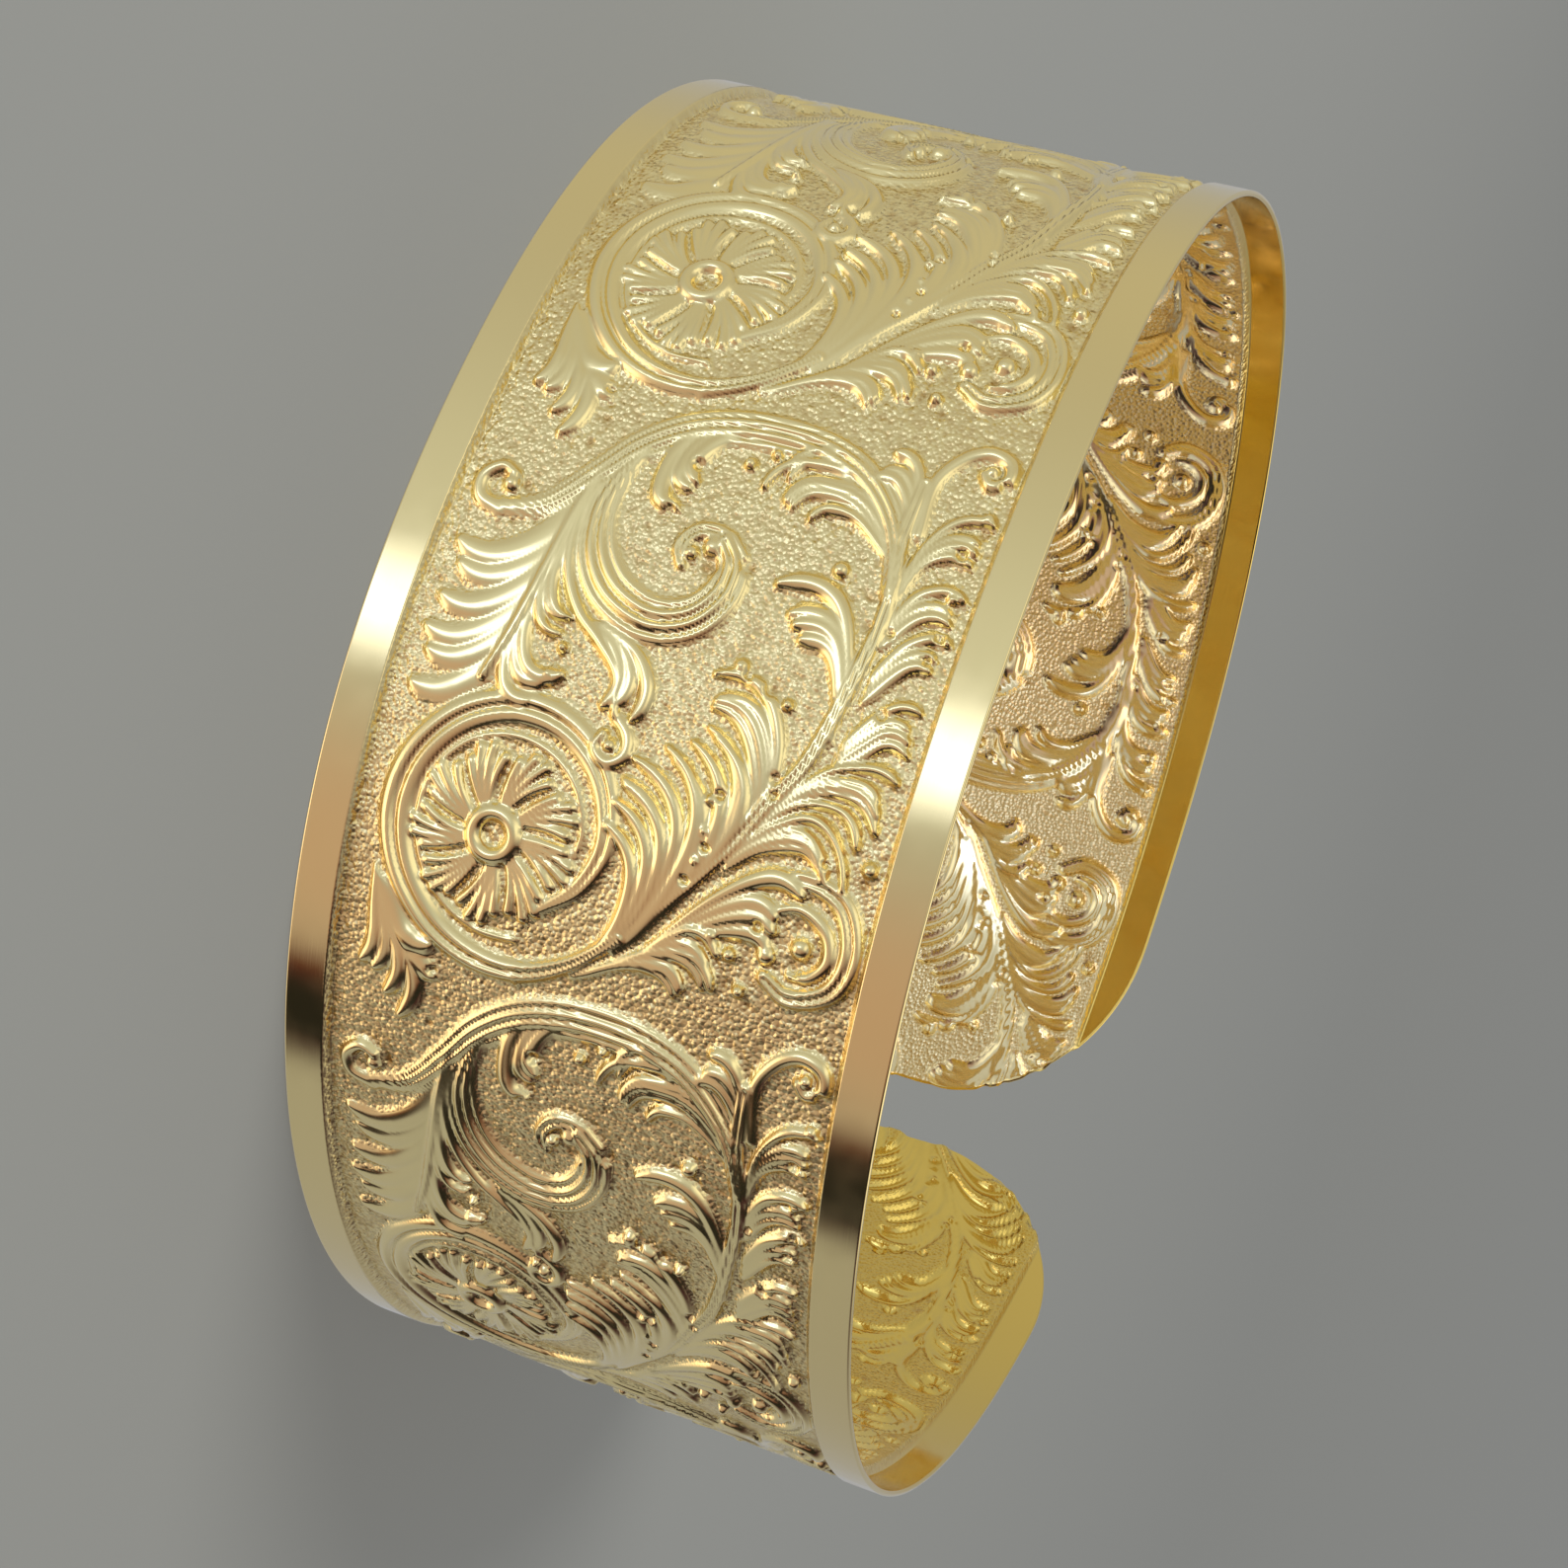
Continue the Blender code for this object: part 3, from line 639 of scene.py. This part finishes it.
class Face:
    """One face of the band as a grid of points, its normals and what its finish needs."""

    def __init__(self, chart, bend, shares, rows, outside):
        along = places_along(shares, rows)
        across = np.broadcast_to(rows[None, :], along.shape)
        grid = chart.outer if outside else chart.inner
        x = across / BAND_WIDTH
        y = along / BAND_WIDTH - FIRST_ROSETTE
        raised = sampled(grid, chart, x, y)
        slope_x = sampled(np.gradient(grid, chart.dx, axis=1), chart, x, y) / BAND_WIDTH
        wrapped = (np.roll(grid, -1, 0) - np.roll(grid, 1, 0)) / (2 * chart.dy)
        slope_y = sampled(wrapped, chart, x, y) / BAND_WIDTH

        # Height of the face and its slopes: the ornament between borders that climb from its ground
        from_side = BAND_WIDTH / 2 - np.abs(across)
        climb = np.clip((BORDER + BORDER_STEP - from_side) / BORDER_STEP, 0.0, 1.0)
        border = climb * climb * (3.0 - 2.0 * climb)
        border_slope = 6.0 * climb * (1.0 - climb) / BORDER_STEP * np.sign(across)
        field = 1.0 - border
        height = RELIEF * (border + field * raised)
        rise_across = RELIEF * (border_slope * (1.0 - raised) + field * slope_x)
        rise_along = RELIEF * field * slope_y
        if not outside:
            height = REVERSE_DEPTH * height + (1 - REVERSE_DEPTH) * RELIEF * border - SHEET

        # The cut edge is rounded off, by a quarter turn at the most
        edge = from_cut_edge(across, along)
        turn = np.clip(1.0 - edge / EDGE_ROUND, 0.0, 1.0)
        side = 1.0 if outside else -1.0
        height = height - side * EDGE_ROUND * (1.0 - np.sqrt(1.0 - turn**2))

        # Points and normals, with the flat strip bent along its line
        places, line, heading = bend
        angle = np.interp(along, places, heading)
        out = np.stack([np.sin(angle), -np.cos(angle), np.zeros_like(angle)], -1)
        tangent = np.stack([np.cos(angle), np.sin(angle), np.zeros_like(angle)], -1)
        up = np.array([0.0, 0.0, 1.0])
        plan = np.stack([np.interp(along, places, line[:, i]) for i in (0, 1)], -1)
        point = np.concatenate([plan, across[..., None] + BAND_WIDTH / 2], -1)
        self.point = point + out * height[..., None]
        normal = out - tangent * rise_along[..., None] - up * rise_across[..., None]
        normal = side * normal
        outward_edge = self.edge_direction(along, across, tangent, up)
        round_off = np.minimum(turn, MOST_EDGE_TURN)[..., None]
        normal = normal * np.sqrt(1.0 - round_off**2) + outward_edge * round_off
        self.normal = normal / np.linalg.norm(normal, axis=-1, keepdims=True)

        # What the metal's finish, its painted shade and its painted light go by
        self.raised = raised * field
        self.plain = np.maximum(border, turn)
        self.along = along
        self.across = across
        self.inside = np.full(along.shape, 0.0 if outside else 1.0)

    @staticmethod
    def edge_direction(along, across, tangent, up):
        """Which way the cut edge nearest to each point faces."""
        beyond = np.abs(along) - (BLANK_LENGTH / 2 - CORNER_ALONG)
        inward = CORNER_ACROSS - (BAND_WIDTH / 2 - np.abs(across))
        in_corner = (beyond > 0.0) & (inward > 0.0)
        at_end = (inward <= 0.0) & (beyond > 0.0)
        by_along = np.where(in_corner, beyond / CORNER_ALONG**2, at_end * 1.0)
        by_across = np.where(in_corner, inward / CORNER_ACROSS**2, (~at_end) * 1.0)
        size = np.hypot(by_along, by_across)
        by_along = by_along / size * np.sign(along)
        by_across = by_across / size * np.sign(across)
        return tangent * by_along[..., None] + up * by_across[..., None]


def grid_faces(columns, rows, first, turned_over):
    """Quads of a grid whose points run along each column first."""
    corner = first + (np.arange(columns - 1)[:, None] * rows + np.arange(rows - 1)[None, :]).ravel()
    quads = np.stack([corner, corner + rows, corner + rows + 1, corner + 1], 1)
    return quads[:, ::-1] if turned_over else quads


def rim_faces(outer, inner, turned_over):
    """Quads between matching edge points of the two faces."""
    quads = np.stack([outer[:-1], inner[:-1], inner[1:], outer[1:]], 1)
    return quads[:, ::-1] if turned_over else quads


def end_faces(outer, inner, outer_across, inner_across, turned_over):
    """Triangles that close an end between the two faces' last points."""
    triangles = []
    i = j = 0
    while i < len(outer) - 1 or j < len(inner) - 1:
        outer_next = outer_across[i + 1] if i < len(outer) - 1 else math.inf
        inner_next = inner_across[j + 1] if j < len(inner) - 1 else math.inf
        if outer_next <= inner_next:
            triangles.append((outer[i], outer[i + 1], inner[j]))
            i += 1
        else:
            triangles.append((outer[i], inner[j + 1], inner[j]))
            j += 1
    triangles = np.array(triangles)
    return triangles[:, ::-1] if turned_over else triangles


def band_part(name, chart, bend, shares, at_start, at_finish):
    """A stretch of the band with both faces, its rims and, at the band's ends, its cut edge."""
    plain_rows = PLAIN_ROWS_AT_ENDS if at_start or at_finish else 1
    outer_rows = face_rows(FIELD_ROWS, plain_rows)
    inner_rows = face_rows(FIELD_ROWS_INSIDE, plain_rows)
    outer = Face(chart, bend, shares, outer_rows, True)
    inner = Face(chart, bend, shares, inner_rows, False)
    columns, rows = outer.point.shape[:2]
    rows_inside = inner.point.shape[1]
    first_inside = columns * rows
    index = np.arange(first_inside).reshape(columns, rows)
    index_inside = first_inside + np.arange(columns * rows_inside).reshape(columns, rows_inside)
    quads = [
        grid_faces(columns, rows, 0, False),
        grid_faces(columns, rows_inside, first_inside, True),
        rim_faces(index[:, 0], index_inside[:, 0], False),
        rim_faces(index[:, -1], index_inside[:, -1], True),
    ]
    triangles = []
    for column, wanted in ((0, at_start), (-1, at_finish)):
        if wanted:
            triangles.append(
                end_faces(index[column], index_inside[column], outer_rows, inner_rows, column == -1)
            )
    quads = np.concatenate(quads)
    corners = [quads.ravel()] + [part.ravel() for part in triangles]
    sizes = [np.full(len(quads), 4)] + [np.full(len(part), 3) for part in triangles]
    corners = np.concatenate(corners).astype(np.int32)
    sizes = np.concatenate(sizes).astype(np.int32)
    starts = np.concatenate([[0], np.cumsum(sizes)[:-1]]).astype(np.int32)

    def joined(field):
        values = [getattr(face, field).reshape(columns * face.point.shape[1], -1) for face in (outer, inner)]
        return np.concatenate(values).astype(np.float32)

    mesh = bpy.data.meshes.new(name)
    points = joined("point")
    mesh.vertices.add(len(points))
    mesh.vertices.foreach_set("co", points.ravel())
    mesh.loops.add(len(corners))
    mesh.loops.foreach_set("vertex_index", corners)
    mesh.polygons.add(len(sizes))
    mesh.polygons.foreach_set("loop_start", starts)
    mesh.update(calc_edges=True)
    mesh.shade_smooth()
    mesh.normals_split_custom_set_from_vertices(joined("normal"))
    for field in ("raised", "plain", "along", "across", "inside"):
        mesh.attributes.new(field, "FLOAT", "POINT").data.foreach_set("value", joined(field).ravel())
    piece = bpy.data.objects.new(name, mesh)
    bpy.context.scene.collection.objects.link(piece)
    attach(piece, "root")
    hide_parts(NODE)
    return piece


class Nodes:
    """Short ways to make and join shader nodes in one tree."""

    def __init__(self, tree):
        self.tree = tree

    def add(self, kind, settings=None, **inputs):
        """A new node with its settings and with values or links for its inputs."""
        node = self.tree.nodes.new(kind)
        for key, value in (settings or {}).items():
            setattr(node, key, value)
        for key, value in inputs.items():
            self.set(node, key.replace("_", " "), value)
        return node

    def set(self, node, socket, value):
        target = node.inputs[socket]
        if isinstance(value, bpy.types.NodeSocket):
            self.tree.links.new(value, target)
        else:
            target.default_value = value

    def math(self, operation, *values):
        node = self.tree.nodes.new("ShaderNodeMath")
        node.operation = operation
        for i, value in enumerate(values):
            self.set(node, i, value)
        return node.outputs[0]

    def spread(self, value, low_and_high, to_low, to_high):
        """A value between a low and a high end, turned into one between two others."""
        node = self.tree.nodes.new("ShaderNodeMapRange")
        for i, number in enumerate((value, *low_and_high, to_low, to_high)):
            self.set(node, i, number)
        return node.outputs["Result"]

    def attribute(self, name):
        return self.add("ShaderNodeAttribute", {"attribute_name": name}).outputs["Fac"]

    def mixed(self, factor, first, second):
        """A colour between two others, through the node's own sockets for colours."""
        node = self.tree.nodes.new("ShaderNodeMix")
        node.data_type = "RGBA"
        self.set(node, 0, factor)
        self.set(node, FIRST_COLOUR, first)
        self.set(node, SECOND_COLOUR, second)
        return node.outputs[MIXED_COLOUR]

    def noise(self, vector, scale, roughness):
        node = self.add("ShaderNodeTexNoise", Scale=scale, Detail=NOISE_DETAIL, Roughness=roughness)
        self.set(node, "Vector", vector)
        return node.outputs["Fac"]

    def bump(self, height, depth, below=None):
        node = self.add("ShaderNodeBump", Strength=1.0, Distance=depth)
        self.set(node, "Height", height)
        if below is not None:
            self.set(node, "Normal", below)
        return node.outputs["Normal"]


def gold_metal():
    """Gold-tone metal: bright raised forms, plain borders, a punched ground with warm painted shade in its
    hollows, and painted light and shade inside.
    """
    material = bpy.data.materials.new(SLOT)
    material.use_nodes = True
    tree = material.node_tree
    nodes = Nodes(tree)
    shader = tree.nodes["Principled BSDF"]
    shader.inputs["Metallic"].default_value = 1.0
    raised = nodes.attribute("raised")
    plain = nodes.attribute("plain")
    along = nodes.attribute("along")
    across = nodes.attribute("across")
    place = nodes.add("ShaderNodeTexCoord").outputs["Object"]
    low = nodes.spread(raised, GROUND_FADES, 1.0, 0.0)
    ground = nodes.math("MULTIPLY", low, nodes.math("SUBTRACT", 1.0, plain))

    # Punched grain on the ground and faint drawn lines on the plain borders
    punched = nodes.add("ShaderNodeTexVoronoi", Scale=1.0 / GRAIN_SIZE)
    nodes.set(punched, "Vector", place)
    grain = nodes.math("SUBTRACT", 1.0, punched.outputs["Distance"])
    lined = nodes.add("ShaderNodeCombineXYZ")
    nodes.set(lined, "X", nodes.math("MULTIPLY", along, 1.0 / LINE_LENGTH))
    nodes.set(lined, "Y", nodes.math("MULTIPLY", across, 1.0 / LINE_SIZE))
    lines = nodes.noise(lined.outputs[0], 1.0, LINE_NOISE_ROUGHNESS)
    grained = nodes.bump(nodes.math("MULTIPLY", grain, ground), GRAIN_DEPTH)
    nodes.set(shader, "Normal", nodes.bump(nodes.math("MULTIPLY", lines, plain), LINE_DEPTH, grained))

    # Colour: it drifts slowly on the ground and is warmer in the hollows, which is painted shade; inside, a
    # paler copy is painted light, and the deepest amber, inside the end towards +X and on the inside's
    # borders, is painted shade
    drift = nodes.noise(place, DRIFT_SCALE, DRIFT_NOISE_ROUGHNESS)
    duller = nodes.math("MULTIPLY", ground, nodes.spread(drift, DRIFT_RANGE, DRIFT_LEAST, 1.0))
    outside_colour = nodes.mixed(duller, GOLD, GROUND_GOLD)
    # Painted light and shade inside: a paler gold, deepening to amber inside the end and on the borders
    end_painted_shade = nodes.math("MAXIMUM", nodes.spread(along, END_PAINTED_SHADE_FADES, 0.0, 1.0), plain)
    inside_painted_light_and_shade = nodes.mixed(end_painted_shade, INSIDE_PAINTED_LIGHT_GOLD, END_PAINTED_SHADE_GOLD)
    body = nodes.mixed(nodes.attribute("inside"), outside_colour, inside_painted_light_and_shade)
    # Painted shade: pits and low ground turn warm brown
    hollow = nodes.spread(raised, HOLLOW_PAINTED_SHADE_FADES, 1.0, 0.0)
    nodes.set(shader, "Base Color", nodes.mixed(hollow, body, HOLLOW_PAINTED_SHADE_GOLD))

    # Roughness: finely worn all over, more on the ground and less on the borders
    wear = nodes.noise(place, WEAR_SCALE, WEAR_NOISE_ROUGHNESS)
    worn = nodes.spread(wear, WEAR_RANGE, *(RAISED_ROUGHNESS + more for more in WEAR_ROUGHNESS))
    on_ground = nodes.math("MULTIPLY", ground, GROUND_ROUGHNESS - RAISED_ROUGHNESS)
    on_plain = nodes.math("MULTIPLY", plain, PLAIN_ROUGHNESS - RAISED_ROUGHNESS)
    nodes.set(shader, "Roughness", nodes.math("ADD", nodes.math("ADD", on_ground, on_plain), worn))
    return material


def card_light(nodes, direction, azimuth, elevation, half_width, half_height, squareness):
    """How strongly a card shows in a direction: 1 at its middle, fading at its edges."""
    a, e = math.radians(azimuth), math.radians(elevation)
    ahead = (math.cos(a) * math.cos(e), math.sin(a) * math.cos(e), math.sin(e))
    sideways = (-math.sin(a), math.cos(a), 0.0)
    upward = (-math.cos(a) * math.sin(e), -math.sin(a) * math.sin(e), math.cos(e))
    total = None
    for axis, half in ((sideways, half_width), (upward, half_height)):
        dot = nodes.add("ShaderNodeVectorMath", {"operation": "DOT_PRODUCT"})
        nodes.set(dot, 0, direction)
        nodes.set(dot, 1, tuple(part / math.sin(math.radians(half)) for part in axis))
        size = nodes.math("MULTIPLY", dot.outputs["Value"], dot.outputs["Value"])
        if squareness > 1.0:
            size = nodes.math("POWER", size, squareness)
        total = size if total is None else nodes.math("ADD", total, size)
    facing = nodes.add("ShaderNodeVectorMath", {"operation": "DOT_PRODUCT"})
    nodes.set(facing, 0, direction)
    nodes.set(facing, 1, ahead)
    in_front = nodes.spread(facing.outputs["Value"], CARD_FADES, 0.0, 1.0)
    fading = nodes.math("EXPONENT", nodes.math("MULTIPLY", total, -1.0))
    return nodes.math("MULTIPLY", fading, in_front)


def surroundings():
    """Soft light from all round, with the few brighter and darker parts that the metal mirrors."""
    world = bpy.data.worlds.new("studio")
    world.use_nodes = True
    bpy.context.scene.world = world
    tree = world.node_tree
    nodes = Nodes(tree)
    background = tree.nodes["Background"]
    direction = nodes.add("ShaderNodeTexCoord").outputs["Generated"]
    total = None
    for _, azimuth, elevation, half_width, half_height, squareness, colour in CARDS:
        shown = card_light(nodes, direction, azimuth, elevation, half_width, half_height, squareness)
        light = nodes.add("ShaderNodeVectorMath", {"operation": "SCALE"})
        nodes.set(light, 0, colour)
        nodes.set(light, "Scale", shown)
        joined = nodes.add("ShaderNodeVectorMath", {"operation": "ADD"})
        nodes.set(joined, 0, BASE_LIGHT if total is None else total)
        nodes.set(joined, 1, light.outputs[0])
        total = joined.outputs[0]
    least = nodes.add("ShaderNodeVectorMath", {"operation": "MAXIMUM"})
    nodes.set(least, 0, total)
    nodes.set(least, 1, (LEAST_LIGHT,) * 3)
    nodes.set(background, "Color", least.outputs[0])


def floor():
    """A pale floor that sweeps up into a wall all round, so that no edge shows."""
    profile = [(0.0, 0.0), (FLOOR_REACH, 0.0)]
    for i in range(1, FLOOR_BEND_STEPS + 1):
        angle = math.pi / 2 * i / FLOOR_BEND_STEPS
        profile.append(
            (FLOOR_REACH + FLOOR_BEND * math.sin(angle), FLOOR_BEND * (1.0 - math.cos(angle)))
        )
    profile.append((FLOOR_REACH + FLOOR_BEND, FLOOR_TOP))
    points, faces = [(0.0, 0.0, 0.0)], []
    for i in range(FLOOR_SIDES):
        angle = 2 * math.pi * i / FLOOR_SIDES
        points += [(r * math.cos(angle), r * math.sin(angle), z) for r, z in profile[1:]]
    ring = len(profile) - 1
    for i in range(FLOOR_SIDES):
        j = (i + 1) % FLOOR_SIDES
        faces.append((0, 1 + i * ring, 1 + j * ring))
        for k in range(ring - 1):
            a, b = 1 + i * ring + k, 1 + j * ring + k
            faces.append((a, a + 1, b + 1, b))
    mesh = bpy.data.meshes.new("floor")
    mesh.from_pydata(points, [], faces)
    mesh.shade_smooth()
    piece = bpy.data.objects.new("floor", mesh)
    bpy.context.scene.collection.objects.link(piece)
    material = bpy.data.materials.new("floor_paper")
    material.use_nodes = True
    shader = material.node_tree.nodes["Principled BSDF"]
    shader.inputs["Base Color"].default_value = FLOOR_COLOUR
    shader.inputs["Roughness"].default_value = FLOOR_ROUGHNESS
    shader.inputs["Specular IOR Level"].default_value = FLOOR_SPECULAR
    shader.inputs["Emission Color"].default_value = FLOOR_GLOW_COLOUR
    shader.inputs["Emission Strength"].default_value = FLOOR_GLOW
    mesh.materials.append(material)
    piece.visible_glossy = False
    piece.visible_diffuse = False
    piece.visible_shadow = False


def camera():
    """The photo's view: the same angle and lens, with the cuff lying on its side."""
    data = bpy.data.cameras.new("camera")
    data.lens = LENS
    data.sensor_width = SENSOR_WIDTH
    data.clip_start = NEAREST
    data.clip_end = FARTHEST
    azimuth, elevation = math.radians(CAMERA_AZIMUTH), math.radians(CAMERA_ELEVATION)
    flat = math.cos(elevation)
    ahead = Vector((math.cos(azimuth) * flat, math.sin(azimuth) * flat, math.sin(elevation)))
    turn = ahead.to_track_quat("-Z", "Y").to_matrix() @ Matrix.Rotation(math.radians(CAMERA_ROLL), 3, "Z")
    piece = bpy.data.objects.new("camera", data)
    piece.matrix_world = Matrix.Translation(Vector(CAMERA_PLACE)) @ turn.to_4x4()
    bpy.context.scene.collection.objects.link(piece)
    bpy.context.scene.camera = piece


def top_light():
    """A soft round light above, which the metal doesn't mirror."""
    data = bpy.data.lights.new("soft_top", "AREA")
    data.shape = "DISK"
    data.size = TOP_LIGHT_SIZE
    data.energy = TOP_LIGHT_STRENGTH
    data.color = TOP_LIGHT_COLOUR
    piece = bpy.data.objects.new("soft_top", data)
    piece.location = TOP_LIGHT_PLACE
    piece.rotation_mode = "QUATERNION"
    piece.rotation_quaternion = (-Vector(TOP_LIGHT_PLACE)).to_track_quat("-Z", "Y")
    piece.visible_glossy = False
    bpy.context.scene.collection.objects.link(piece)


def whole_band():
    """The band in stretches of about as many columns each, so that none has too many faces."""
    chart = charted_ornament()
    bend = bent_line()
    metal = gold_metal()
    shares = column_shares()
    cuts = np.linspace(0, len(shares) - 1, PARTS + 1).astype(int)
    for part in range(PARTS):
        stretch = shares[cuts[part] : cuts[part + 1] + 1]
        piece = band_part("band_%d" % (part + 1), chart, bend, stretch, part == 0, part == PARTS - 1)
        piece.data.materials.append(metal)


whole_band()
surroundings()
floor()
camera()
top_light()
bpy.context.scene.view_settings.view_transform = "Standard"
